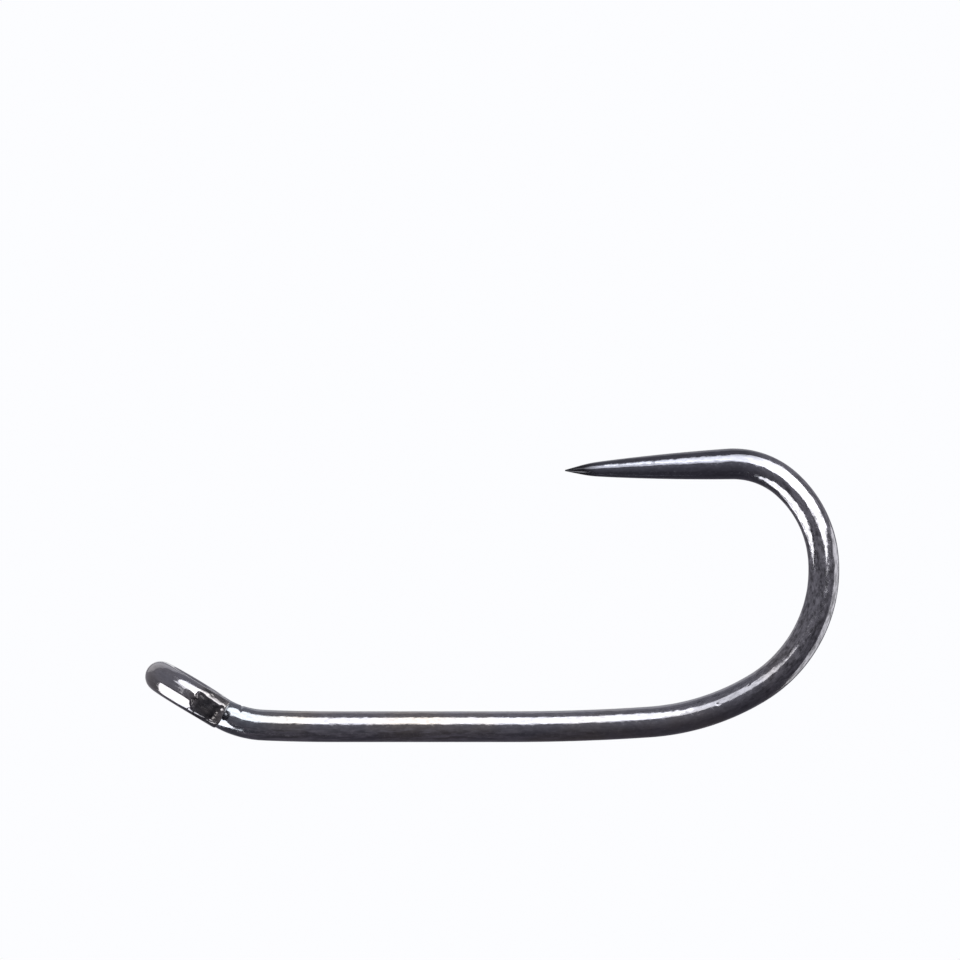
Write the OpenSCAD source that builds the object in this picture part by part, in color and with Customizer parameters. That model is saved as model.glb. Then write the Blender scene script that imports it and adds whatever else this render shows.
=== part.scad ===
// A bare barbless fishing hook, bent from one round steel wire.
// Row frame: the origin is the centre of the eye's opening, +X runs along the
// straight shank toward the bend, +Z points to the side that the point is on,
// and the shank, bend and point all lie in the plane Y = 0.
// The wire is drawn as four regions that meet face to face.

/* [Wire] */
// Diameter of the round wire
wire_d = 0.6; // [0.3:0.01:1.2]

/* [Eye] */
// Outside diameter of the ring
eye_outer_d = 1.96; // [1.4:0.02:4]
// Depth of the true round land inside the ring, where the line passes
land_depth = 0.02; // [0.005:0.005:0.05]
// Angle of the ring's plane to the shank, toward the point side
eye_tilt = 29; // [0:1:45]
// Centreline radius where the wire turns out of the neck into the ring
turn_radius = 0.35; // [0.31:0.01:1]
// Centreline radius of the neck, where the wire bends down from the shank line
neck_radius = 0.85; // [0.5:0.01:2]
// Angle short of a full turn at the inner edge of the cut end
end_angle = 15; // [8:1:40]
// Slant of the cut end, away from a square cut
end_slant = 33; // [0:1:45]

/* [Shank] */
// Centreline radius of the slow bow between the neck and the straight shank
front_bow_radius = 43.6; // [10:0.1:80]
// Turn of that slow bow
front_bow_angle = 2.5; // [0.5:0.1:6]
// Length of the truly straight shank
straight_length = 3.23; // [1:0.01:12]
// Centreline radius of the slow bow between the straight shank and the bend
rear_bow_radius = 40; // [10:0.1:80]
// Turn of that slow bow
rear_bow_angle = 3.9; // [0.5:0.1:6]

/* [Bend] */
// Centreline radius of the heel, the first curve after the shank
heel_radius = 4.73; // [2:0.01:12]
// Turn of the heel
heel_angle = 27.1; // [5:0.1:60]
// Centreline radius of the back of the bend
back_radius = 2.73; // [1:0.01:8]
// Turn of the back of the bend
back_angle = 64; // [20:0.1:90]
// Centreline radius of the shoulder, above the back
shoulder_radius = 2.21; // [1:0.01:8]
// Turn of the shoulder
shoulder_angle = 42.3; // [10:0.1:80]
// Centreline radius of the last curve, which leads into the spear
crown_radius = 1.58; // [0.8:0.01:6]
// Turn of the last curve
crown_angle = 45; // [10:0.1:80]

/* [Point] */
// Length of the spear, from the end of the bend to the tip
spear_length = 3.26; // [1.5:0.01:8]
// Fall of the radius for each millimetre, where the taper starts
taper_slope = 0.03; // [0:0.005:0.1]
// Radius of the taper's bulged side
taper_bulge_radius = 43; // [15:1:100]
// Length of the steeper ground tip
tip_length = 0.48; // [0.2:0.01:1]
// Radius of the blunt end at the very tip
tip_radius = 0.012; // [0.005:0.001:0.05]

/* [Hidden] */
$fn = 96;

wire_r = wire_d / 2;
ring_r = eye_outer_d / 2 - wire_r;
eye_bore_r = ring_r - wire_r + land_depth;

// The turn out of the neck touches the ring's circle from outside. It starts
// on the neck line at turn_start from the ring's centre, and meets the ring
// at join_angle from that line.
turn_start = sqrt(ring_r * ring_r + 2 * ring_r * turn_radius);
join_angle = atan(turn_radius / turn_start);

// Each curve of the wire is [centreline radius, turn].
TURN = [turn_radius, 90 - join_angle];
RING = [ring_r, 360 - join_angle - end_angle];
NECK = [neck_radius, eye_tilt - front_bow_angle];
FRONT_BOW = [front_bow_radius, front_bow_angle];
REAR_BOW = [rear_bow_radius, rear_bow_angle];
HEEL = [heel_radius, heel_angle];
BACK = [back_radius, back_angle];
SHOULDER = [shoulder_radius, shoulder_angle];
CROWN = [crown_radius, crown_angle];

// A place on the wire is [x, z, heading]. The heading is the angle from +X
// toward +Z of the way that the wire runs.
function along(p, length) =
    [p[0] + length * cos(p[2]), p[1] + length * sin(p[2]), p[2]];
function around(p, curve) = let (h = p[2] + curve[1])
    [p[0] + curve[0] * (sin(h) - sin(p[2])),
     p[1] + curve[0] * (cos(p[2]) - cos(h)), h];

neck_at = along([0, 0, -eye_tilt], turn_start);
front_bow_at = around(neck_at, NECK);
straight_at = around(front_bow_at, FRONT_BOW);
rear_bow_at = along(straight_at, straight_length);
heel_at = around(rear_bow_at, REAR_BOW);
back_at = around(heel_at, HEEL);
shoulder_at = around(back_at, BACK);
crown_at = around(shoulder_at, SHOULDER);
spear_at = around(crown_at, CROWN);

// Radius of the point, at a distance along the spear
taper_length = spear_length - tip_length;
taper_steps = 12;
function taper_r(s) = wire_r - taper_slope * s
    - s * s / (2 * taper_bulge_radius);

steel = [0.20, 0.20, 0.23];
// How far the block that cuts the ring's end reaches past the wire
end_margin = 0.02;
// A length that goes on from another starts this far inside it, and is this
// much thinner, so that the two join cleanly
lap_reach = 0.01;
lap_step = 0.001;

// Puts its children, drawn along +X from the origin, at a place on the wire
module at_place(p) {
    translate([p[0], 0, p[1]]) rotate([0, -p[2], 0]) children();
}

// Moves its children to the end of a curve that starts at the origin, runs
// along +X and turns toward +Z
module beyond(curve) {
    translate([curve[0] * sin(curve[1]), 0, curve[0] * (1 - cos(curve[1]))])
        rotate([0, -curve[1], 0]) children();
}

// A length of wire along such a curve, with its children drawn on from its
// end. order is 0, or how many lengths of the same node it follows on.
module curved_wire(curve, order = 0) {
    lap_angle = order > 0 ? lap_reach / curve[0] * 180 / PI : 0;
    translate([0, 0, curve[0]]) rotate([0, 90, 0]) rotate([90, 0, 0])
        rotate([0, 0, -lap_angle])
            rotate_extrude(angle = curve[1] + lap_angle)
                translate([curve[0], 0]) circle(r = wire_r - order * lap_step);
    beyond(curve) children();
}

// The ring, from where the turn meets it. The block takes off its cut end on
// a slant from the end's inner edge.
module ring() {
    difference() {
        curved_wire(RING, 2);
        beyond(RING) translate([0, 0, wire_r]) rotate([0, end_slant, 0])
            translate([0, -wire_d, -2 * wire_d])
                cube([wire_d * sin(end_slant) + end_margin, 2 * wire_d,
                      2 * wire_d + end_margin]);
    }
}

// The neck runs one way from the start of the turn, and the turn and the ring
// run the other way, the turn toward +Y and the ring back round by -Y.
module eye() {
    color(steel) rotate([0, eye_tilt, 0]) difference() {
        translate([turn_start, 0, 0]) {
            curved_wire(NECK);
            rotate([90, 0, 180]) curved_wire(TURN, 1)
                rotate([180, 0, 0]) ring();
        }
        translate([0, 0, -wire_d]) cylinder(r = eye_bore_r, h = 2 * wire_d);
    }
}

// The two slow bows go on from the ends of the straight shank
module shank() {
    color(steel) at_place(straight_at) {
        rotate([0, 90, 0]) cylinder(r = wire_r, h = straight_length);
        translate([straight_length, 0, 0]) curved_wire(REAR_BOW, 1);
        rotate([0, 0, 180]) curved_wire(FRONT_BOW, 1);
    }
}

module bend() {
    color(steel) at_place(heel_at) curved_wire(HEEL)
        curved_wire(BACK, 1) curved_wire(SHOULDER, 2) curved_wire(CROWN, 3);
}

module point() {
    color(steel) at_place(spear_at) rotate([0, 90, 0]) rotate_extrude()
        polygon([[0, 0],
            for (i = [0 : taper_steps]) let (s = taper_length * i / taper_steps)
                [taper_r(s), s],
            [tip_radius, spear_length], [0, spear_length]]);
}

eye();
shank();
bend();
point();
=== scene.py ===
"""A bare barbless fishing hook, bent from one round wire with a black nickel
finish, in a soft light on white. Lengths are in metres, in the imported
model's own frame: the origin is the centre of the eye's opening, +X runs
along the straight shank toward the bend, and +Z is the point's side."""

import math

import bpy
import numpy as np
from mathutils import Matrix, Quaternion, Vector


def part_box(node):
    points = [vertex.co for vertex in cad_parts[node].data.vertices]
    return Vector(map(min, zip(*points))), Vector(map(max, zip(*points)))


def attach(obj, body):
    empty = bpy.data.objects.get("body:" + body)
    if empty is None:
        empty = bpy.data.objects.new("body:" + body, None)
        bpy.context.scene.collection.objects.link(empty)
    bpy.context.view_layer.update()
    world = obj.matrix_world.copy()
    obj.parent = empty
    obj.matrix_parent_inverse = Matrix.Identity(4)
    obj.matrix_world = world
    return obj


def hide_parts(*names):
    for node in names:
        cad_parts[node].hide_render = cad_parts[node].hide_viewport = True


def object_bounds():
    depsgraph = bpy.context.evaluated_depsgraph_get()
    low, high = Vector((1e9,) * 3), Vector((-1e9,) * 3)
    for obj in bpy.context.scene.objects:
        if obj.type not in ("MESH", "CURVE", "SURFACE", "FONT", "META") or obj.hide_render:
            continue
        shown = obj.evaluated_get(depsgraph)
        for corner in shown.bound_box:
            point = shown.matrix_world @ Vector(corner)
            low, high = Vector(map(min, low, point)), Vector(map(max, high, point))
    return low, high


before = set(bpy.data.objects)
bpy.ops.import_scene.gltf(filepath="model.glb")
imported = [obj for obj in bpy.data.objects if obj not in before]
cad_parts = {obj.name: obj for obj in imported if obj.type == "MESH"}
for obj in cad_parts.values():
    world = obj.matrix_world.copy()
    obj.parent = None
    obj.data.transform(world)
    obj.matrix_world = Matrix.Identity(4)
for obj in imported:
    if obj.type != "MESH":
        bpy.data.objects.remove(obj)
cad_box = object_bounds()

bl_info = {
    "name": "Barbless fishing hook",
    "version": (1, 0, 0),
    "blender": (4, 5, 0),
    "location": "3D View > Sidebar > Hook",
    "description": "Sweeps a bare fishing hook from one wire and lights it",
    "category": "Add Mesh",
}

MM = 0.001
BODY = "root"
# The attribute that keeps each vertex's place on the unbent wire.
WIRE_PLACE = "wire_place"

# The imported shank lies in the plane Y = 0, so its box gives the wire's
# thickness, and its low end says where the neck hands over to the shank.
shank_low, shank_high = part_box("shank")
WIRE_DIAMETER = shank_high.y - shank_low.y
# The wire drawn here is a little thicker, because its lit edges look thinner.
THICKER = 1.02
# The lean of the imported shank's end face at its low end.
SHANK_END_LEAN = math.radians(2.5)

# Step at which the middle line is worked out, and how far it is carried on
# before its start and past its end.
LINE_STEP = 0.001 * MM
LINE_BEFORE = 2 * MM
LINE_AFTER = 1 * MM

# Rows over the cut face and over its rounded edge, how far behind the cut the
# rows stand square across the wire, and the length they turn in.
FACE_ROWS = 13
EDGE_ROWS = 7
SQUARE_BEHIND = 0.15 * MM
FAN_LENGTH = 0.2 * MM
# Rows over the rounding of the tip.
TIP_ROWS = 5
# Rows of the plain wire are longer than the eye's by this factor.
PLAIN_ROW = 1.3

# The marks below are in millimetres and degrees. Waves on the cut face:
# height, how many go round the wire, and shift in radians.
CUT_WAVES = ((0.012, 3, 0.4), (0.007, 7, 1.9))
# Facets worn into the near side of the ring: the way that each faces, from
# level toward the top, and its depth. They ease in and out over the two
# stretches, measured back from the start of the ring's straight end.
FACETS = ((-33, 0.022), (2, 0.014))
FACETS_IN = (-0.06, 0.04)
FACETS_OUT = (0.8, 0.5)
FACET_SOFTNESS = 0.002
# A facet isn't followed past the side where its cosine is this small.
LEAST_COSINE = 0.2
# Waves in the start of the pressed flat, as height and pitch over 2 pi, and
# the softness of the flat's outline.
FLAT_WAVES = ((0.026, 0.035), (0.012, 0.017))
FLAT_SOFTNESS = 0.004
# Dents in the pressed flat: distance along, height, size and depth.
DENTS = (
    (0.68, 0.13, 0.05, 0.035),
    (0.60, -0.17, 0.07, 0.035),
    (0.62, -0.04, 0.05, 0.02),
    (0.36, 0.06, 0.06, 0.014),
    (0.26, -0.07, 0.05, 0.012),
    (0.44, -0.03, 0.04, -0.01),
    (0.22, 0.14, 0.05, 0.02),
)
# Small nicks in the wire's skin: place along the middle line, angle round
# the wire, length, width and depth. A width is measured on the skin, at the
# skin's distance from the wire's middle.
EYE_NICKS = ((1.06, 110, 0.02, 0.16, 0.03),)
BEND_NICKS = (
    (10.3, 132, 0.03, 0.03, 0.008),
    (10.62, 168, 0.035, 0.03, 0.01),
    (10.7, 196, 0.02, 0.03, 0.008),
    (11.35, 150, 0.03, 0.025, 0.007),
    (12.9, 205, 0.03, 0.03, 0.008),
    (13.4, 162, 0.025, 0.025, 0.007),
)
SKIN_DISTANCE = 0.3

# Noises of the finish: pitch for each millimetre along, across and above the
# unbent wire, then detail and roughness.
DRAWN_LINES = ((2.5, 22.0, 22.0), 2.0, 0.5)
ORANGE_PEEL = ((5.0, 6.0, 6.0), 1.0, 0.4)
FINE_GRAIN = ((7.0, 16.0, 16.0), 3.0, 0.65)
MOTTLE = ((14.0, 18.0, 18.0), 3.0, 0.6)
CLOUD = ((0.7, 1.2, 1.2), 2.0, 0.5)
BLOTCH = ((5.0, 7.0, 7.0), 1.0, 0.4)
SPECKLE = ((6.0, 15.0, 15.0), 3.0, 0.7)
STREAK = ((2.2, 13.0, 13.0), 3.0, 0.65)

# Where the finish changes, in millimetres along the unbent wire. A stretch
# has a length that it eases in over and one that it eases out over.
CUT_FACE = (-3.15, -2.98)
CRUSHED_END = (-2.52, -2.62)
COLD_NECK = ((0.3, 0.8), (2.4, 1.3))
STREAKED_SHANK = ((0.3, 0.8), (9.0, 5.0))
SPECKLED_BEND = ((10.0, 12.5), (17.0, 15.9))
BRIGHT_BEND = (11.0, 14.0)
GROUND_SPEAR = (15.9, 17.2)
# Stretch of the spear whose outer, upper rim is painted dark: painted shade in place of
# the dark reflection along it.
PAINTED_RIM_STRETCH = (16.7, 17.1)
DARK_TIP = (19.95, 20.25)
# Heights on the round wire, from -1 on its outer side to 1 on its inner.
# The heights over which that painted rim shade eases in on the spear's outer side.
PAINTED_RIM_HEIGHTS = (-0.47, -0.6)
LOWER_SIDE = (0.0, -0.3)

# The soft lamps: name, azimuth and polar angle of the way to it in degrees,
# width and height in metres, turn about that way in degrees, radiance, and
# width of the dark border behind it.
LAMPS = (
    ("upper_right_lamp", 59.4, 53.0, (0.35, 0.256), 11.0, 4.6, 0.05),
    ("right_lamp", 34.2, 49.0, (0.119, 0.27), 0.0, 4.2, 0.0),
    ("top_fill_lamp", 115.5, 34.5, (0.082, 0.13), 0.0, 2.4, 0.0),
    ("lower_left_lamp", 217.4, 75.5, (0.175, 0.275), -38.0, 4.6, 0.025),
    ("right_rim_lamp", 345.0, 113.0, (0.22, 0.2), 0.0, 1.3, 0.0),
    ("upper_rim_lamp", 114.0, 138.0, (0.2, 0.12), 0.0, 0.42, 0.0),
)
BORDER_BEHIND = 0.002
# The dark cards' ball: azimuth and polar angle of its front pole, angle from
# there to the edge of its opening, rows and columns, and the heights between
# which it grows lighter.
CARD_POLE = (300.0, 5.0)
CARD_REACH = 168.0
CARD_ROWS, CARD_COLUMNS = 47, 72
CARD_HEIGHTS = (-0.2, 0.12)
# The floor's innermost and outermost ring, and its rings and spokes.
FLOOR_RINGS = (0.02, 12.0, 24)
FLOOR_SPOKES = 96
SENSOR_WIDTH = 36.0
CLIP = (0.01, 100.0)


# ---------------------------------------------------------------- settings


def length(name, description, default, low=0.0):
    """A length in metres, with a slider that starts at low."""
    return bpy.props.FloatProperty(
        name=name,
        description=description,
        default=default,
        min=low,
        precision=6,
        unit="LENGTH",
        subtype="DISTANCE",
    )


def angle(name, description, default):
    """An angle, written here in degrees and kept in radians."""
    return bpy.props.FloatProperty(
        name=name,
        description=description,
        default=math.radians(default),
        unit="ROTATION",
        subtype="ANGLE",
    )


def plain(name, description, default, low=0.0, high=1.0):
    """A number without a unit."""
    return bpy.props.FloatProperty(
        name=name, description=description, default=default, min=low, max=high
    )


def colour(name, description, default):
    """A linear colour."""
    return bpy.props.FloatVectorProperty(
        name=name,
        description=description,
        default=default,
        size=3,
        min=0.0,
        max=1.0,
        subtype="COLOR",
    )


class HookWireSettings(bpy.types.PropertyGroup):
    """Sizes of the bent wire, from its eye to the start of its point."""

    diameter: length("Wire diameter", "Thickness", THICKER * WIRE_DIAMETER)
    ring_radius: length("Ring radius", "Ring of the eye, to its middle", 0.68 * MM)
    turn_radius: length("Turn radius", "Turn from the neck into the ring", 0.35 * MM)
    lead_from: angle("Lead angle", "Where on the ring its straight end starts", 277)
    cut_at: length("Cut", "Distance of the cut from the ring's centre", 0.765 * MM)
    end_rounding: length("End rounding", "Rounding of the cut's edge", 0.055 * MM)
    flat_from: length("Flat start", "Where the pressed flat starts", 0.085 * MM)
    flat_ramp: length("Flat ramp", "Length in which the flat eases in", 0.08 * MM)
    flat_height: length("Flat height", "Distance of the pressed flat", 0.884 * MM)
    flat_lean: angle("Flat lean", "How far down the pressed flat faces", 7)
    tilt: angle("Eye tilt", "Angle of the eye to the shank", 29)
    ring_lift: angle("Ring lift", "How much more the ring itself is tilted", 2)
    lift_at: length("Lift place", "Where it lifts, from its centre", 0.72 * MM)
    eye_line: length("Eye line", "From the ring's centre to the neck", 0.7374 * MM)
    neck_radius: length("Neck radius", "Curve from eye to shank", 1.8325 * MM)
    neck_angle: angle("Neck turn", "How far the neck curve turns", 26.5)
    front_bow_radius: length("Front bow radius", "Slow bow after the neck", 33 * MM)
    front_bow_angle: angle("Front bow turn", "How far that bow turns", 2.5)
    straight_length: length("Straight shank", "Length of the shank", 3.461 * MM)
    rear_bow_radius: length("Rear bow radius", "Slow bow before the heel", 40 * MM)
    rear_bow_angle: angle("Rear bow turn", "How far that bow turns", 3.9)
    heel_radius: length("Heel radius", "First curve of the bend", 4.73 * MM)
    heel_angle: angle("Heel turn", "How far the heel turns", 27.1)
    back_radius: length("Back radius", "Curve at the back of the bend", 2.73 * MM)
    back_angle: angle("Back turn", "How far the back turns", 64)
    shoulder_radius: length("Shoulder radius", "Curve above the back", 2.21 * MM)
    shoulder_angle: angle("Shoulder turn", "How far the shoulder turns", 42.3)
    crown_radius: length("Crown radius", "Last curve, into the spear", 1.58 * MM)
    crown_angle: angle("Crown turn", "How far the crown turns", 45)
    easing: length("Easing", "Length in which curve eases into curve", 0.16 * MM)
    sides: bpy.props.IntProperty(
        name="Sides", description="Faces round the wire", default=96, min=12
    )
    row: length("Row", "Length of a face along the wire", 0.022 * MM, 0.005 * MM)


class HookPointSettings(bpy.types.PropertyGroup):
    """Sizes of the tapered spear and its ground tip."""

    spear_length: length("Spear length", "From the bend to the tip", 3.26 * MM)
    slope: plain("Taper slope", "Fall of the radius where the taper starts", 0.03)
    bulge: length("Taper bulge", "Radius of the taper's bulged side", 43 * MM)
    tip_length: length("Tip length", "Length of the steeper ground tip", 0.48 * MM)
    tip_radius: length("Tip radius", "Radius of the very tip", 0.012 * MM)
    blend: length("Blend", "How softly the taper meets the tip", 0.012 * MM)


class HookFinishSettings(bpy.types.PropertyGroup):
    """Look of the black nickel finish, with a painted shade on the spear's top rim."""

    nickel: colour("Nickel", "Plating", (0.25, 0.25, 0.275))
    bronze: colour("Bronze cast", "Warm cast of thin plating", (0.27, 0.25, 0.235))
    cold: colour("Cold neck", "Plating on the neck", (0.2, 0.235, 0.27))
    bright: colour("Bright bend", "Plating on the bend's back", (0.38, 0.375, 0.4))
    ground: colour("Ground point", "Plating on the spear", (0.195, 0.2, 0.23))
    # Painted shade, not plating: the dark colour of the spear's outer, upper rim, in place
    # of the dark reflection there.
    edge: colour("Spear's edge", "Outer edge of the spear", (0.11, 0.112, 0.13))
    tip: colour("Tip", "The ground tip", (0.045, 0.045, 0.05))
    crushed: colour("Crushed end", "The pressed, cut end", (0.04, 0.04, 0.045))
    streak: colour("Streaks", "Light streaks on the shank", (0.46, 0.45, 0.48))
    polish: plain("Roughness", "Roughness of clean plating", 0.1)
    dull: plain("Dull roughness", "Roughness of the dull mottling", 0.24)
    crushed_dull: plain("Crushed roughness", "Added at the crushed end", 0.08)
    bump: length("Bump", "Height of the finish's bump", 6e-6)


class HookStageSettings(bpy.types.PropertyGroup):
    """Camera, lamps, cards and floor."""

    lens: plain("Lens", "Focal length in millimetres", 600, 50, 1200)
    camera_height: angle("Camera height", "Angle of the camera above level", 1.0)
    aim_x: length("Aim along", "Where the camera looks, along X", 5.728 * MM)
    aim_z: length("Aim height", "Where the camera looks, along Z", 4.245 * MM)
    view_width: length("View width", "Width of the view at the hook", 18.935 * MM)
    floor_drop: length("Floor drop", "Depth of the floor below the origin", 0.26)
    lamp_distance: length("Lamp distance", "From the hook to each lamp", 0.2)
    card_radius: length("Card radius", "From the hook to the dark cards", 0.24)
    white: colour("White", "Floor and backdrop as seen", (0.975, 0.98, 1.0))
    paper: colour("Paper", "Floor as the light falls on it", (0.85, 0.85, 0.87))
    room: colour("Room", "Light of the room", (0.5, 0.5, 0.52))
    card_low: colour("Low card", "Dark cards at their foot", (0.12, 0.112, 0.135))
    card_high: colour("High card", "Dark cards at their top", (0.43, 0.42, 0.47))
    border: colour("Border", "Border behind a lamp", (0.05, 0.045, 0.06))


SETTINGS = {
    "hook_wire": HookWireSettings,
    "hook_point": HookPointSettings,
    "hook_finish": HookFinishSettings,
    "hook_stage": HookStageSettings,
}


# ------------------------------------------------------------ the bent line


def ramp(value, start, end):
    """Nought at start, one at end, straight between and held beyond."""
    return np.clip((value - start) / (end - start), 0.0, 1.0)


def soft_least(first, second, soft):
    """Soft minimum of two: minus soft times the logarithm of the sum of the
    exponentials of each one over minus soft."""
    return -soft * np.logaddexp(-first / soft, -second / soft)


def line_of_the_hook(wire, point):
    """Middle line of the hook in the plane Y = 0, as a function of the length
    along it from the ring's centre.

    The curvature is one over the radius on each curve and nought on each
    straight, averaged over the easing length so that one curve eases into
    the next. The heading is the running sum of the curvature, less the
    ring's lift up to where the ring lifts, and the place is the running sum
    of the heading's cosine and sine."""

    def curve(name):
        """Length and curvature of one of the wire's curves."""
        radius = getattr(wire, name + "_radius")
        return radius * getattr(wire, name + "_angle"), 1 / radius

    parts = {
        "eye_line": (wire.eye_line, 0.0),
        "neck": curve("neck"),
        "front_bow": curve("front_bow"),
        "straight": (wire.straight_length, 0.0),
        "rear_bow": curve("rear_bow"),
        "heel": curve("heel"),
        "back": curve("back"),
        "shoulder": curve("shoulder"),
        "crown": curve("crown"),
        "spear": (point.spear_length, 0.0),
    }
    lengths, bends = np.array(list(parts.values())).T
    ends = np.concatenate([[0.0], np.cumsum(lengths)])
    u = np.arange(-LINE_BEFORE, ends[-1] + LINE_AFTER, LINE_STEP)
    turned = np.interp(u, ends, np.concatenate([[0.0], np.cumsum(lengths * bends)]))
    half = wire.easing / 2
    sums = np.cumsum(turned[:-1] + turned[1:]) * LINE_STEP / 2
    total = np.concatenate([[0.0], sums])
    heading = -wire.tilt + (
        np.interp(u + half, u, total) - np.interp(u - half, u, total)
    ) / (2 * half)
    edge = (u < u[0] + half) | (u > u[-1] - half)
    heading[edge] = (-wire.tilt + turned)[edge]
    lifted = np.clip((wire.lift_at - u) / wire.easing + 0.5, 0.0, 1.0)
    heading -= wire.ring_lift * lifted
    turn = np.interp(u[:-1] + LINE_STEP / 2, u, heading)
    x = np.concatenate([[0.0], np.cumsum(np.cos(turn)) * LINE_STEP])
    z = np.concatenate([[0.0], np.cumsum(np.sin(turn)) * LINE_STEP])
    # The straight neck's line, carried on, passes through the ring's centre.
    at = wire.lift_at + wire.easing
    x += at * math.cos(wire.tilt) - np.interp(at, u, x)
    z -= at * math.sin(wire.tilt) + np.interp(at, u, z)
    starts = dict(zip(parts, ends.tolist()))
    return {"u": u, "x": x, "z": z, "heading": heading, "starts": starts}


def bent(line, a, b, n):
    """Bends a flat layout into the hook: a is the length along the middle
    line, b goes across it along Y, and n is the height above it. A place is
    the line's place at a, plus n times the line's upward normal."""
    heading = np.interp(a, line["u"], line["heading"])
    x = np.interp(a, line["u"], line["x"]) - n * np.sin(heading)
    z = np.interp(a, line["u"], line["z"]) + n * np.cos(heading)
    return np.stack([x, np.broadcast_to(b, x.shape), z], axis=-1)


# ------------------------------------------------------------- mesh helpers


def linked(name, data):
    """A new object of the scene that holds the data."""
    made = bpy.data.objects.new(name, data)
    bpy.context.scene.collection.objects.link(made)
    return made


def grid_faces(rows, sides):
    """Quads of a tube of rows rings, each of the given number of sides, with
    faces outward when the rings run along the tube and go round it
    counter-clockwise about that way."""
    i = np.arange(rows - 1)[:, None] * sides
    j = np.arange(sides)[None, :]
    k = (j + 1) % sides
    return np.stack([i + j, i + k, i + k + sides, i + j + sides], -1).reshape(-1, 4)


def fan_faces(ring_start, sides, centre, first_end):
    """Triangles from a ring to its centre, outward at the first or last end
    of a tube."""
    j = ring_start + np.arange(sides)
    k = ring_start + (np.arange(sides) + 1) % sides
    c = np.full(sides, centre)
    return np.stack([k, j, c] if first_end else [j, k, c], -1)


def tube_piece(name, places, wire_places, flat_first, flat_last, first, last):
    """Makes a closed piece from a grid of places, row by row, and two end
    centres. wire_places are the same points on the unbent wire, in
    millimetres, which the finish follows."""
    rows, sides = places.shape[:2]
    verts = np.concatenate([places.reshape(-1, 3), [first[0], last[0]]])
    straight = np.concatenate([wire_places.reshape(-1, 3), [first[1], last[1]]])
    quads = grid_faces(rows, sides)
    start = fan_faces(0, sides, rows * sides, True)
    end = fan_faces((rows - 1) * sides, sides, rows * sides + 1, False)
    faces = quads.tolist() + start.tolist() + end.tolist()
    mesh = bpy.data.meshes.new(name)
    mesh.from_pydata(verts.tolist(), [], faces)
    smooth = np.ones(len(faces), bool)
    smooth[len(quads) : len(quads) + sides] = not flat_first
    smooth[len(quads) + sides :] = not flat_last
    mesh.polygons.foreach_set("use_smooth", smooth)
    store = mesh.attributes.new(WIRE_PLACE, "FLOAT_VECTOR", "POINT")
    store.data.foreach_set("vector", straight.astype(np.float32).ravel())
    mesh.update()
    if mesh.validate():
        raise RuntimeError(f"{name} has faces that Blender had to repair")
    if flat_first:
        keep_sharp(mesh, 0, sides)
    if flat_last:
        keep_sharp(mesh, (rows - 1) * sides, sides)
    return linked(name, mesh)


def keep_sharp(mesh, start, sides):
    """Marks the edges of one ring as sharp, so that a flat end doesn't round
    the shading of the side that it closes."""
    ends = np.empty(len(mesh.edges) * 2, np.int32)
    mesh.edges.foreach_get("vertices", ends)
    ends = ends.reshape(-1, 2)
    on_ring = ((ends >= start) & (ends < start + sides)).all(axis=1)
    sharp = np.zeros(len(mesh.edges), bool)
    mesh.edges.foreach_get("use_edge_sharp", sharp)
    mesh.edges.foreach_set("use_edge_sharp", sharp | on_ring)


def around(sides):
    """Angles round the wire, counter-clockwise about the way it runs, as one
    row."""
    return (np.arange(sides) * (2 * math.pi / sides))[None, :]


def stations(start, end, row):
    """Evenly spaced places from start to end, about a row apart."""
    return np.linspace(start, end, max(2, math.ceil((end - start) / row) + 1))


def filled(column, sides):
    """A column of values, the same all round the wire."""
    return np.broadcast_to(column, (len(column), sides))


def swept(line, u, radius, sides):
    """A round section of the given radius carried along the hook's line: each
    row is the circle across the line at its place u."""
    theta = around(sides)
    across = radius * np.cos(theta)
    above = radius * np.sin(theta)
    along = filled(u[:, None], sides)
    return bent(line, along, across, above), straightened(along, across, above)


def straightened(along, across, above):
    """The same points on the unbent wire, in millimetres."""
    return np.stack(np.broadcast_arrays(along, across, above), -1) / MM


def middle_of(line, u):
    """The line's own place at u, and the same on the unbent wire."""
    place = bent(line, np.array([u]), np.zeros(1), np.zeros(1))[0]
    return place, np.array([u / MM, 0.0, 0.0])


def finish_piece(piece, node):
    """Gives a piece its finish and its body, and hides the imported node that it
    stands for.
    """
    piece.data.materials.append(black_nickel(bpy.context.scene.hook_finish))
    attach(piece, BODY)
    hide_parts(node)


def shank_start(line):
    """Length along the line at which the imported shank's end face stands. The
    face leans, so its middle is half the wire's thickness times the sine of
    the lean above its lowest X."""
    lean = math.sin(SHANK_END_LEAN) * WIRE_DIAMETER / 2
    return float(np.interp(shank_low.x + lean, line["x"], line["u"]))


def hook_line():
    """The middle line for the scene's settings."""
    scene = bpy.context.scene
    return line_of_the_hook(scene.hook_wire, scene.hook_point)


# ------------------------------------------------------------------- pieces


def eye_layout(wire, q, across):
    """Places of the ring in the flat layout. q is how far a place lies past
    the end of the ring's circle, toward the cut end: where it is below
    nought the place is on the circle, at the angle that q makes there, and
    where it is above, it is on the straight that leaves the circle along its
    tangent. across is the distance outward from the wire's middle."""
    turn = wire.lead_from + np.minimum(q, 0.0) / wire.ring_radius
    past = np.maximum(q, 0.0)
    rho = wire.ring_radius + across
    return (
        rho * np.cos(turn) - past * np.sin(turn),
        rho * np.sin(turn) + past * np.cos(turn),
    )


def cut_place(wire, across):
    """How far past the circle the straight meets the cut, which is square to
    the neck: the cut's distance along the neck, less the place's own, over
    the cosine between the two."""
    start = (wire.ring_radius + across) * math.cos(wire.lead_from)
    return (wire.cut_at - start) / -math.sin(wire.lead_from)


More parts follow.
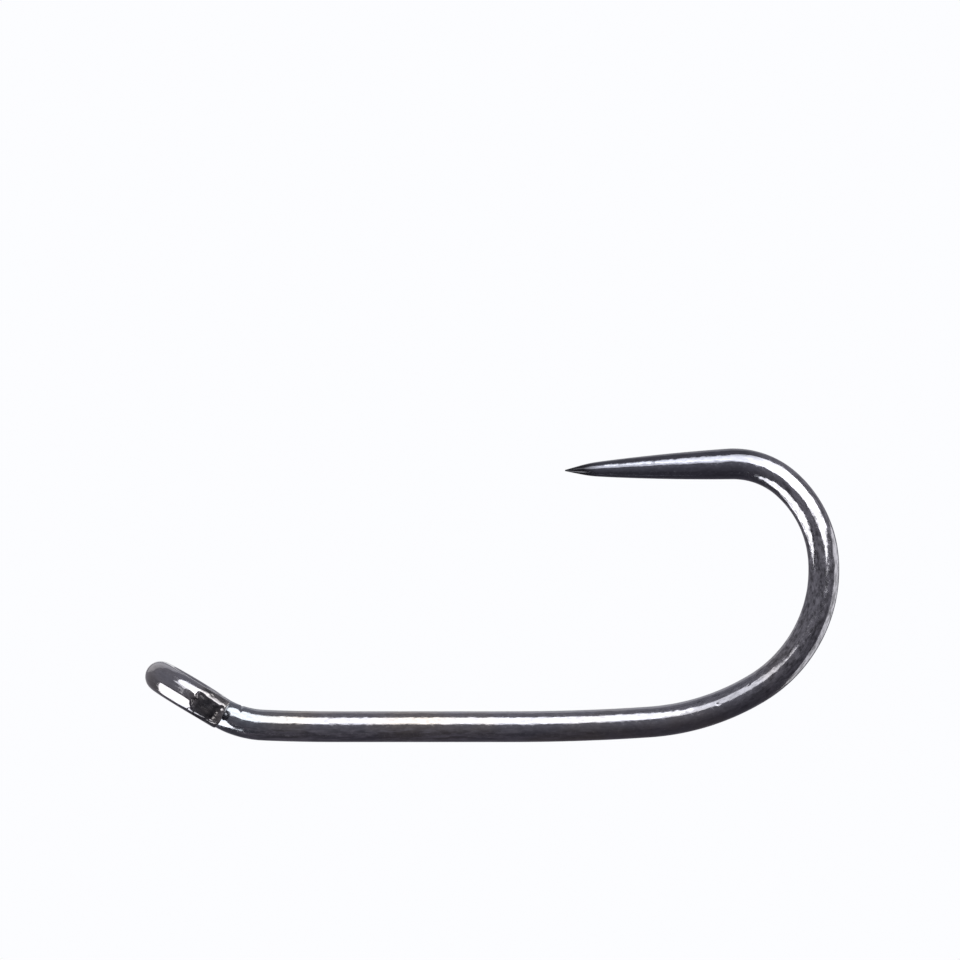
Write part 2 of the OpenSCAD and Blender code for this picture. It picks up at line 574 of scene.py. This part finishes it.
def cut_end(wire, theta):
    """Radii and places q of the cut face and its rounded edge, from the
    middle of the face. Over the face the radius grows evenly, and over the
    edge it grows by the rounding times the sine of a quarter turn while the
    place goes back by the rounding times one less the cosine. CUT_WAVES make
    the face a little uneven."""
    r, rounding = wire.diameter / 2, wire.end_rounding
    face = np.linspace(0.0, 1.0, FACE_ROWS + 1)[1:]
    quarter = np.linspace(0.0, math.pi / 2, EDGE_ROWS + 1)[1:]
    edge = r - rounding + rounding * np.sin(quarter)
    radii = np.concatenate([(r - rounding) * face, edge])[:, None]
    backs = np.concatenate([0 * face, rounding * (1 - np.cos(quarter))])[:, None]
    waves = sum(
        height * MM * np.sin(count * theta + shift)
        for height, count, shift in CUT_WAVES
    )
    return radii, cut_place(wire, radii * np.cos(theta)) - backs - waves * radii / r


def pressed(wire, a, b, n):
    """Presses a flat into the near side of the eye's end. Every place that
    stands proud of a plane, which faces the near side and a little down, is
    moved back onto it by its soft distance, from where the flat eases in, a
    place that wanders a little with the height. Each dent then moves the
    near side back by its depth times a bell curve of the distance from it."""
    lean = wire.flat_lean
    facing = (
        math.sin(lean) * math.sin(wire.tilt),
        -math.cos(lean),
        -math.sin(lean) * math.cos(wire.tilt),
    )
    proud = a * facing[0] + b * facing[1] + n * facing[2] - wire.flat_height
    wander = sum(
        height * MM * np.sin(n / (pitch * MM)) for height, pitch in FLAT_WAVES
    )
    start = ramp(a - wander, wire.flat_from, wire.flat_from + wire.flat_ramp)
    share = start * start * (3 - 2 * start) * (b < 0)
    soft = FLAT_SOFTNESS * MM
    move = share * soft * np.logaddexp(0.0, proud / soft)
    a, b, n = a - move * facing[0], b - move * facing[1], n - move * facing[2]
    for at, up, size, depth in DENTS:
        away = ((a - at * MM) ** 2 + (n - up * MM) ** 2) / (size * MM) ** 2
        b = b + depth * MM * np.exp(-away) * (b < 0)
    return a, b, n


def nicked(radius, s, theta, nicks):
    """Lowers the radius at each nick by its depth times a bell curve of the
    distance from it on the wire's skin."""
    out = radius + 0 * theta + 0 * s
    for along, turn, long, wide, depth in nicks:
        apart = (theta - math.radians(turn) + math.pi) % (2 * math.pi) - math.pi
        bell = ((s - along * MM) / (long * MM)) ** 2
        bell = bell + (apart * SKIN_DISTANCE / wide) ** 2
        out = out - depth * MM * np.exp(-bell)
    return out


def faceted(wire, q, theta):
    """How much the facets take off the ring's radius. Toward each way round,
    what is left is the soft minimum of the radius and of each facet's
    distance, which is its own over the cosine of the angle from it."""
    r = wire.diameter / 2
    back = -q / MM
    share = ramp(back, *FACETS_IN) * ramp(back, *FACETS_OUT)
    left = r + 0 * theta
    for facing, depth in FACETS:
        level = np.maximum(np.cos(theta - math.radians(facing)), LEAST_COSINE)
        left = soft_least(left, (r - depth * MM) / level, FACET_SOFTNESS * MM)
    return share * np.maximum(r - left, 0.0)


def ring_rows(wire, theta, join):
    """Radii and places q of the ring's rows: its cut end, rows that turn
    evenly until they stand square across, and square rows from there back to
    the join with the turn."""
    cut_radii, cut_q = cut_end(wire, theta)
    square = cut_q[-1].min() - SQUARE_BEHIND
    share = np.linspace(0.0, 1.0, math.ceil(FAN_LENGTH / wire.row) + 1)[1:, None]
    fanned = cut_q[-1][None, :] * (1 - share) + square * share
    join_q = -(wire.lead_from - join) * wire.ring_radius
    steady = stations(join_q, square, wire.row)[::-1][1:, None]
    q = np.concatenate([cut_q, fanned, filled(steady, wire.sides)])
    # The last row of the cut end has the full radius, as have all after it.
    full = np.full((len(q) - len(cut_radii) + 1, 1), wire.diameter / 2)
    radii = filled(np.concatenate([cut_radii[:-1], full]), wire.sides).copy()
    worn = len(cut_radii) - 1
    radii[worn:] -= faceted(wire, q[worn:], theta)
    return radii, q


def build_eye(wire, line):
    """The eye as one swept surface, from its cut end round the ring, through
    the turn and along the neck.

    In the flat layout a section's point is the middle line's place plus the
    radius times (cos t, sin t) along the outward and upward directions. The
    radius comes from ring_rows on the ring, is the wire's own on the turn,
    and has the nicks on the neck, and the ring's end is pressed flat."""
    r, sides = wire.diameter / 2, wire.sides
    ring, turn = wire.ring_radius, wire.turn_radius
    turn_start = math.sqrt(ring * ring + 2 * ring * turn)
    join = math.atan(turn / turn_start)
    theta = around(sides)
    round_across, round_above = r * np.cos(theta), r * np.sin(theta)

    radii, q = ring_rows(wire, theta, join)
    ring_across, ring_above = radii * np.cos(theta), radii * np.sin(theta)
    ring_a, ring_b = eye_layout(wire, q, ring_across)
    ring_a, ring_b, ring_n = pressed(wire, ring_a, ring_b, ring_above)

    # The turn, from the join back to the neck's line. Its outward direction
    # is the one on the left of the way it runs.
    heading = stations(join - math.pi / 2, 0.0, wire.row / turn)[1:, None]
    turn_a = turn_start + (turn - round_across) * np.sin(heading)
    turn_b = turn - (turn - round_across) * np.cos(heading)
    turn_s = (wire.lead_from - join) * ring + (heading + math.pi / 2 - join) * turn

    # The neck, straight in the layout.
    neck = stations(turn_start, shank_start(line), wire.row)[1:, None]
    neck_s = turn_s[-1] + neck - turn_start
    neck_r = nicked(r, neck, theta, EYE_NICKS)

    a = np.concatenate([ring_a, turn_a, filled(neck, sides)])
    b = np.concatenate([ring_b, turn_b, neck_r * np.cos(theta)])
    turn_n = np.broadcast_to(round_above, turn_a.shape)
    n = np.concatenate([ring_n, turn_n, neck_r * np.sin(theta)])
    plain_rows = (len(heading) + len(neck), sides)
    across = np.concatenate([ring_across, np.broadcast_to(round_across, plain_rows)])
    above = np.concatenate([ring_above, np.broadcast_to(round_above, plain_rows)])
    # Lengths on the unbent wire go on into the shank's own.
    s = np.concatenate([-q, filled(turn_s, sides), filled(neck_s, sides)])
    s = s - neck_s[-1] + shank_start(line)
    centre = eye_layout(wire, cut_place(wire, np.zeros(1)), np.zeros(1))
    first = (bent(line, *centre, np.zeros(1))[0], np.array([s[0].mean() / MM, 0, 0]))
    return tube_piece(
        "hook_eye",
        bent(line, a, b, n),
        straightened(s, across, above),
        False,
        True,
        first,
        middle_of(line, shank_start(line)),
    )


def build_run(name, line, wire, start, end):
    """A length of plain round wire from start to end along the line, swept as
    in swept, with the bend's nicks."""
    u = stations(start, end, wire.row * PLAIN_ROW)
    radius = nicked(wire.diameter / 2, u[:, None], around(wire.sides), BEND_NICKS)
    places, unbent = swept(line, u, radius, wire.sides)
    return tube_piece(
        name, places, unbent, True, True, middle_of(line, start), middle_of(line, end)
    )


def point_radius(wire, point, s):
    """Radius at a distance s along the spear. The body falls by slope * s +
    s^2 / (2 * bulge), the ground tip is a straight cone down to the tip
    radius, and the radius is the soft minimum of the two."""

    def body(at):
        """Radius of the tapered body."""
        return wire.diameter / 2 - point.slope * at - at * at / (2 * point.bulge)

    knee = point.spear_length - point.tip_length
    fall = (body(knee) - point.tip_radius) / point.tip_length
    cone = point.tip_radius + (point.spear_length - s) * fall
    return soft_least(body(s), cone, point.blend)


def build_point(wire, point, line):
    """The spear: a round section whose radius follows point_radius, closed by
    a small quarter round at the tip."""
    start = line["starts"]["spear"]
    tip = point.tip_radius
    s = stations(0.0, point.spear_length - tip, wire.row)
    radius = point_radius(wire, point, s)
    radius[0] = wire.diameter / 2
    quarter = np.linspace(0.0, math.pi / 2, TIP_ROWS + 2)[1:-1]
    s = np.concatenate([s, s[-1] + tip * np.sin(quarter)])
    radius = np.concatenate([radius, radius[-1] * np.cos(quarter)])
    places, unbent = swept(line, start + s, radius[:, None], wire.sides)
    first = middle_of(line, start)
    last = middle_of(line, start + point.spear_length)
    return tube_piece("hook_point", places, unbent, True, False, first, last)


# ------------------------------------------------------------------- finish


def add(tree, kind, **values):
    """A node of the given kind, with plain attributes and socket values."""
    made = tree.nodes.new(kind)
    for name, value in values.items():
        if hasattr(made, name):
            setattr(made, name, value)
        else:
            made.inputs[name.replace("_", " ")].default_value = value
    return made


def noise(tree, source, stretch, detail, roughness):
    """Noise on the unbent wire. stretch is its pitch for each millimetre
    along, across and above."""
    mapping = add(tree, "ShaderNodeMapping", Scale=stretch)
    tree.links.new(source, mapping.inputs["Vector"])
    made = add(
        tree, "ShaderNodeTexNoise", Scale=1.0, Detail=detail, Roughness=roughness
    )
    tree.links.new(mapping.outputs["Vector"], made.inputs["Vector"])
    return made.outputs["Fac"]


def ranged(tree, source, low, high, to_low=0.0, to_high=1.0):
    """Spreads a value from one range to another, and holds it there."""
    made = add(
        tree,
        "ShaderNodeMapRange",
        clamp=True,
        From_Min=low,
        From_Max=high,
        To_Min=to_low,
        To_Max=to_high,
    )
    tree.links.new(source, made.inputs["Value"])
    return made.outputs["Result"]


def joined(tree, operation, first, second):
    """A math node on two values, each a socket or a number."""
    made = add(tree, "ShaderNodeMath", operation=operation)
    for socket, value in zip(made.inputs, (first, second)):
        if isinstance(value, (int, float)):
            socket.default_value = value
        else:
            tree.links.new(value, socket)
    return made.outputs["Value"]


def product(tree, first, *others):
    """All the values multiplied together."""
    for other in others:
        first = joined(tree, "MULTIPLY", first, other)
    return first


def summed(tree, first, *others):
    """All the values added together."""
    for other in others:
        first = joined(tree, "ADD", first, other)
    return first


def on_stretch(tree, along, ease_in, ease_out):
    """One on a stretch of the wire and nought away from it."""
    return product(tree, ranged(tree, along, *ease_in), ranged(tree, along, *ease_out))


def mixed(tree, share, first, second):
    """A colour between two, each a socket or a linear colour."""
    made = add(tree, "ShaderNodeMix", data_type="RGBA")
    for name, value in (("A", first), ("B", second)):
        socket = next(s for s in made.inputs if s.name == name and s.type == "RGBA")
        if isinstance(value, bpy.types.NodeSocket):
            tree.links.new(value, socket)
        else:
            socket.default_value = (*value, 1.0)
    tree.links.new(share, made.inputs[0])
    return next(s for s in made.outputs if s.type == "RGBA")


def split(tree, vector):
    """The parts of a vector."""
    made = add(tree, "ShaderNodeSeparateXYZ")
    tree.links.new(vector, made.inputs[0])
    return made.outputs


def height_round(tree, place):
    """Height of a place on the round wire, over its distance from the wire's
    middle: one on the inner side of the bend and minus one on the outer."""
    across = add(tree, "ShaderNodeVectorMath", operation="MULTIPLY")
    across.inputs[1].default_value = (0.0, 1.0, 1.0)
    tree.links.new(place, across.inputs[0])
    outward = add(tree, "ShaderNodeVectorMath", operation="NORMALIZE")
    tree.links.new(across.outputs[0], outward.inputs[0])
    return split(tree, outward.outputs[0])["Z"]


def plating_colour(tree, finish, place, along, crushed, grain, blotch):
    """Colour of the plating: nickel with a warm cast in places, colder on the
    neck, streaked on the lower side of the shank, brighter and speckled round
    the back of the bend, and darker on the spear, the tip and the crushed end.
    The spear's outer edge, its top rim, is painted darker still: painted shade
    in place of the dark reflection there."""
    height = height_round(tree, place)
    cast = ranged(tree, noise(tree, place, *CLOUD), 0.46, 0.68)
    cold = product(tree, on_stretch(tree, along, *COLD_NECK), 0.6)
    # Painted shade: the spear's outer rim is darkened where it shows a dark reflection.
    painted_rim_shade = product(
        tree, ranged(tree, height, *PAINTED_RIM_HEIGHTS), ranged(tree, along, *PAINTED_RIM_STRETCH)
    )
    dark = product(
        tree,
        crushed,
        ranged(tree, blotch, 0.38, 0.6, 0.5, 0.9),
        ranged(tree, along, *CUT_FACE, 0.3, 1.0),
    )
    streaked = product(
        tree,
        ranged(tree, noise(tree, place, *STREAK), 0.43, 0.62, 0.0, 0.9),
        on_stretch(tree, along, *STREAKED_SHANK),
        ranged(tree, height, *LOWER_SIDE),
    )
    tint = tuple(finish.nickel)
    for share, shade in (
        (cast, finish.bronze),
        (cold, finish.cold),
        (ranged(tree, along, *BRIGHT_BEND), finish.bright),
        (ranged(tree, along, *GROUND_SPEAR), finish.ground),
        (painted_rim_shade, finish.edge),
        (ranged(tree, along, *DARK_TIP), finish.tip),
        (dark, finish.crushed),
        (streaked, finish.streak),
    ):
        tint = mixed(tree, share, tint, tuple(shade))
    speckled = product(
        tree,
        ranged(tree, noise(tree, place, *SPECKLE), 0.35, 0.6, 0.62, 0.0),
        on_stretch(tree, along, *SPECKLED_BEND),
    )
    kept = joined(tree, "SUBTRACT", ranged(tree, grain, 0.35, 0.6, 0.8, 1.0), speckled)
    return mixed(tree, kept, (0.0, 0.0, 0.0), tint)


def black_nickel(finish):
    """Polished black nickel on drawn wire, with painted shade on the spear's top
    rim. Colour, roughness and bump follow the place on the unbent wire."""
    name = "black_nickel"
    if name in bpy.data.materials:
        return bpy.data.materials[name]
    material = bpy.data.materials.new(name)
    material.use_nodes = True
    tree = material.node_tree
    shader = tree.nodes["Principled BSDF"]
    shader.inputs["Metallic"].default_value = 1.0
    attribute = add(tree, "ShaderNodeAttribute", attribute_name=WIRE_PLACE)
    place = attribute.outputs["Vector"]
    along = split(tree, place)["X"]
    crushed = ranged(tree, along, *CRUSHED_END)
    grain = noise(tree, place, *FINE_GRAIN)
    blotch = noise(tree, place, *BLOTCH)

    tint = plating_colour(tree, finish, place, along, crushed, grain, blotch)
    tree.links.new(tint, shader.inputs["Base Color"])

    mottle = noise(tree, place, *MOTTLE)
    dullness = summed(
        tree,
        ranged(tree, mottle, 0.48, 0.72, finish.polish, finish.dull),
        product(tree, crushed, finish.crushed_dull),
    )
    tree.links.new(dullness, shader.inputs["Roughness"])

    height = summed(
        tree,
        product(tree, noise(tree, place, *DRAWN_LINES), 0.2),
        noise(tree, place, *ORANGE_PEEL),
        product(tree, grain, 0.15),
        product(tree, blotch, crushed, 5.0),
    )
    bump = add(tree, "ShaderNodeBump", Strength=1.0, Distance=finish.bump)
    tree.links.new(height, bump.inputs["Height"])
    tree.links.new(bump.outputs["Normal"], shader.inputs["Normal"])
    return material


# -------------------------------------------------------------------- stage


def bare_material(name):
    """A material with nothing but its output."""
    material = bpy.data.materials.new(name)
    material.use_nodes = True
    tree = material.node_tree
    tree.nodes.remove(tree.nodes["Principled BSDF"])
    return material, tree, tree.nodes["Material Output"].inputs["Surface"]


def seen_white(tree, lit, white):
    """Joins a surface or world shader, as light falls on it, with plain white
    for the camera and for what reflects or lets through."""
    path = add(tree, "ShaderNodeLightPath").outputs
    seen = joined(tree, "MAXIMUM", path["Is Camera Ray"], path["Is Glossy Ray"])
    seen = joined(tree, "MAXIMUM", seen, path["Is Transmission Ray"])
    mix = add(tree, "ShaderNodeMixShader")
    tree.links.new(seen, mix.inputs[0])
    tree.links.new(lit.outputs[0], mix.inputs[1])
    tree.links.new(white.outputs[0], mix.inputs[2])
    return mix.outputs[0]


def toward(stage, azimuth, polar):
    """A direction by its polar angle from the line of sight and its azimuth
    round it, from the right toward the top, in degrees."""
    e = stage.camera_height
    right = Vector((1, 0, 0))
    up = Vector((0, math.sin(e), math.cos(e)))
    back = Vector((0, -math.cos(e), math.sin(e)))
    a, p = math.radians(azimuth), math.radians(polar)
    return (
        right * (math.sin(p) * math.cos(a))
        + up * (math.sin(p) * math.sin(a))
        + back * math.cos(p)
    )


def soft_lamp(stage, name, azimuth, polar, size, twist, radiance):
    """A flat rectangular lamp that faces the hook. Its power is the radiance
    times pi times its area."""
    data = bpy.data.lights.new(name, "AREA")
    data.shape = "RECTANGLE"
    data.size, data.size_y = size
    data.energy = radiance * math.pi * size[0] * size[1]
    lamp = linked(name, data)
    way = toward(stage, azimuth, polar)
    side = toward(stage, 0.0, 0.0).cross(way).normalized()
    side = Quaternion(way, math.radians(twist)) @ side
    turn = Matrix((side, way.cross(side), way)).transposed()
    lamp.rotation_mode = "QUATERNION"
    lamp.rotation_quaternion = turn.to_quaternion()
    lamp.location = hook_centre() + way * stage.lamp_distance
    lamp.visible_camera = False
    return lamp


def stage_mesh(name, verts, faces, material, gloss_only=True):
    """A mesh that isn't part of the hook. A card shows in what reflects it,
    and nowhere else."""
    mesh = bpy.data.meshes.new(name)
    mesh.from_pydata(verts.tolist(), [], faces)
    mesh.update()
    mesh.materials.append(material)
    made = linked(name, mesh)
    if gloss_only:
        made.visible_camera = False
        made.visible_diffuse = False
        made.visible_shadow = False
        made.visible_transmission = False


def card_material(name, low, high=None):
    """Plain dark card, or one that goes from a low to a high shade upward."""
    if name in bpy.data.materials:
        return bpy.data.materials[name]
    material, tree, surface = bare_material(name)
    dark = add(tree, "ShaderNodeEmission", Color=(*low, 1.0), Strength=1.0)
    if high:
        place = add(tree, "ShaderNodeTexCoord").outputs["Object"]
        height = ranged(tree, split(tree, place)["Z"], *CARD_HEIGHTS)
        tree.links.new(mixed(tree, height, low, high), dark.inputs["Color"])
    tree.links.new(dark.outputs[0], surface)
    return material


def hook_centre():
    """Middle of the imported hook's box."""
    return (cad_box[0] + cad_box[1]) / 2


def build_camera(stage):
    """A long lens, square on to the hook's plane but for its small height."""
    data = bpy.data.cameras.new("camera")
    data.lens = stage.lens
    data.sensor_width = SENSOR_WIDTH
    data.clip_start, data.clip_end = CLIP
    camera = linked("camera", data)
    target = Vector((stage.aim_x, 0.0, stage.aim_z))
    distance = stage.view_width * data.lens / data.sensor_width
    camera.location = target + toward(stage, 0.0, 0.0) * distance
    camera.rotation_euler = (math.pi / 2 - stage.camera_height, 0.0, 0.0)
    bpy.context.scene.camera = camera


def build_floor(stage):
    """A wide pale floor, a flat round grid of rings and spokes: each vertex
    is the centre plus its ring's radius times its spoke's direction."""
    rings = np.geomspace(*FLOOR_RINGS)[:, None]
    spokes = around(FLOOR_SPOKES)
    centre = hook_centre()
    x = centre.x + rings * np.cos(spokes)
    y = centre.y + rings * np.sin(spokes)
    z = np.full_like(x, -stage.floor_drop)
    verts = np.stack([x, y, z], -1).reshape(-1, 3)
    verts = np.concatenate([verts, [[centre.x, centre.y, -stage.floor_drop]]])
    faces = grid_faces(len(rings), FLOOR_SPOKES)[:, ::-1].tolist()
    faces += fan_faces(0, FLOOR_SPOKES, len(verts) - 1, False).tolist()
    material, tree, surface = bare_material("floor_white")
    paper = add(tree, "ShaderNodeBsdfDiffuse", Color=(*stage.paper, 1.0))
    white = add(tree, "ShaderNodeEmission", Color=(*stage.white, 1.0), Strength=1.0)
    tree.links.new(seen_white(tree, paper, white), surface)
    stage_mesh("floor", verts, faces, material, gloss_only=False)


def build_world(stage):
    """A plain grey room for its light, white where it is seen."""
    world = bpy.data.worlds.new("room")
    bpy.context.scene.world = world
    world.use_nodes = True
    tree = world.node_tree
    room = tree.nodes["Background"]
    room.inputs["Color"].default_value = (*stage.room, 1.0)
    white = add(tree, "ShaderNodeBackground", Color=(*stage.white, 1.0), Strength=1.0)
    surface = tree.nodes["World Output"].inputs["Surface"]
    tree.links.new(seen_white(tree, room, white), surface)


def build_cards(stage):
    """Dark cards that stand round the hook, as round any bright metal, and
    show only in what reflects them. They are part of a ball round the hook's
    centre, from its front pole to a round opening at the back: each vertex
    lies a radius from the centre, at a polar angle from the pole and an
    azimuth round it."""
    polar = np.linspace(0.0, math.radians(CARD_REACH), CARD_ROWS + 1)[1:, None]
    azimuth = around(CARD_COLUMNS)
    # The pole lies a little below and right of the line of sight, so that the
    # opening behind reaches further up and to the left.
    front = np.array(toward(stage, *CARD_POLE))
    right = np.cross([0.0, 0.0, 1.0], front)
    right /= np.linalg.norm(right)
    up = np.cross(front, right)
    ways = (
        (np.sin(polar) * np.cos(azimuth))[..., None] * right
        + (np.sin(polar) * np.sin(azimuth))[..., None] * up
        + (np.cos(polar) * np.ones_like(azimuth))[..., None] * front
    )
    ways = np.concatenate([ways.reshape(-1, 3), [front]])
    verts = np.array(hook_centre()) + stage.card_radius * ways
    faces = grid_faces(CARD_ROWS, CARD_COLUMNS).tolist()
    faces += fan_faces(0, CARD_COLUMNS, len(verts) - 1, True).tolist()
    material = card_material("dark_card", tuple(stage.card_low), tuple(stage.card_high))
    stage_mesh("dark_cards", verts, faces, material)


def lamp_border(stage, lamp, size, border):
    """A dark border just behind a lamp, as wide as border all round."""
    corners = np.array([[-1, -1], [1, -1], [1, 1], [-1, 1]])
    corners = corners * (np.array(size) / 2 + border)
    verts = np.concatenate([corners, np.full((4, 1), BORDER_BEHIND)], axis=1)
    turn = np.array(lamp.rotation_quaternion.to_matrix())
    verts = verts @ turn.T + np.array(lamp.location)
    material = card_material("lamp_border", tuple(stage.border))
    stage_mesh(lamp.name + "_frame", verts, [[3, 2, 1, 0]], material)


def build_lamps(stage):
    """The soft lamps of LAMPS: a large one at the upper right with a smaller
    one on either side of it, one at the lower left, and two faint ones behind,
    at the right and above. Two of them have a dark border."""
    for name, azimuth, polar, size, twist, radiance, border in LAMPS:
        lamp = soft_lamp(stage, name, azimuth, polar, size, twist, radiance)
        if border:
            lamp_border(stage, lamp, size, border)


# ---------------------------------------------------------------- operators


class HOOK_OT_eye(bpy.types.Operator):
    """Make the eye: the neck, the turn out of it and the ring"""

    bl_idname = "hook.eye"
    bl_label = "Eye"

    def execute(self, context):
        finish_piece(build_eye(context.scene.hook_wire, hook_line()), "eye")
        return {"FINISHED"}


class HOOK_OT_wire(bpy.types.Operator):
    """Make the shank and the bend, two lengths of plain round wire"""

    bl_idname = "hook.wire"
    bl_label = "Shank and bend"

    def execute(self, context):
        wire, line = context.scene.hook_wire, hook_line()
        heel, spear = line["starts"]["heel"], line["starts"]["spear"]
        shank = build_run("hook_shank", line, wire, shank_start(line), heel)
        finish_piece(shank, "shank")
        finish_piece(build_run("hook_bend", line, wire, heel, spear), "bend")
        return {"FINISHED"}


class HOOK_OT_point(bpy.types.Operator):
    """Make the tapered spear with its ground tip"""

    bl_idname = "hook.point"
    bl_label = "Point"

    def execute(self, context):
        scene = context.scene
        spear = build_point(scene.hook_wire, scene.hook_point, hook_line())
        finish_piece(spear, "point")
        return {"FINISHED"}


class HOOK_OT_stage(bpy.types.Operator):
    """Make the camera, floor, room, cards and lamps"""

    bl_idname = "hook.stage"
    bl_label = "Stage"

    def execute(self, context):
        for build in (build_camera, build_floor, build_world, build_cards, build_lamps):
            build(context.scene.hook_stage)
        context.scene.view_settings.view_transform = "Standard"
        return {"FINISHED"}


OPERATORS = (HOOK_OT_stage, HOOK_OT_eye, HOOK_OT_wire, HOOK_OT_point)


class HOOK_PT_panel(bpy.types.Panel):
    """The hook's settings and the steps that make it"""

    bl_idname = "HOOK_PT_panel"
    bl_label = "Hook"
    bl_space_type = "VIEW_3D"
    bl_region_type = "UI"
    bl_category = "Hook"

    def draw(self, context):
        for operator in OPERATORS:
            self.layout.operator(operator.bl_idname)
        for name in SETTINGS:
            box = self.layout.box()
            settings = getattr(context.scene, name)
            for prop in settings.__annotations__:
                box.prop(settings, prop)


CLASSES = (*SETTINGS.values(), *OPERATORS, HOOK_PT_panel)


def register():
    for cls in CLASSES:
        bpy.utils.register_class(cls)
    for name, cls in SETTINGS.items():
        setattr(bpy.types.Scene, name, bpy.props.PointerProperty(type=cls))


def unregister():
    for name in SETTINGS:
        delattr(bpy.types.Scene, name)
    for cls in reversed(CLASSES):
        bpy.utils.unregister_class(cls)


def main():
    """Registers the add-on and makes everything."""
    register()
    bpy.ops.hook.stage()
    bpy.ops.hook.eye()
    bpy.ops.hook.wire()
    bpy.ops.hook.point()


if __name__ == "__main__":
    main()
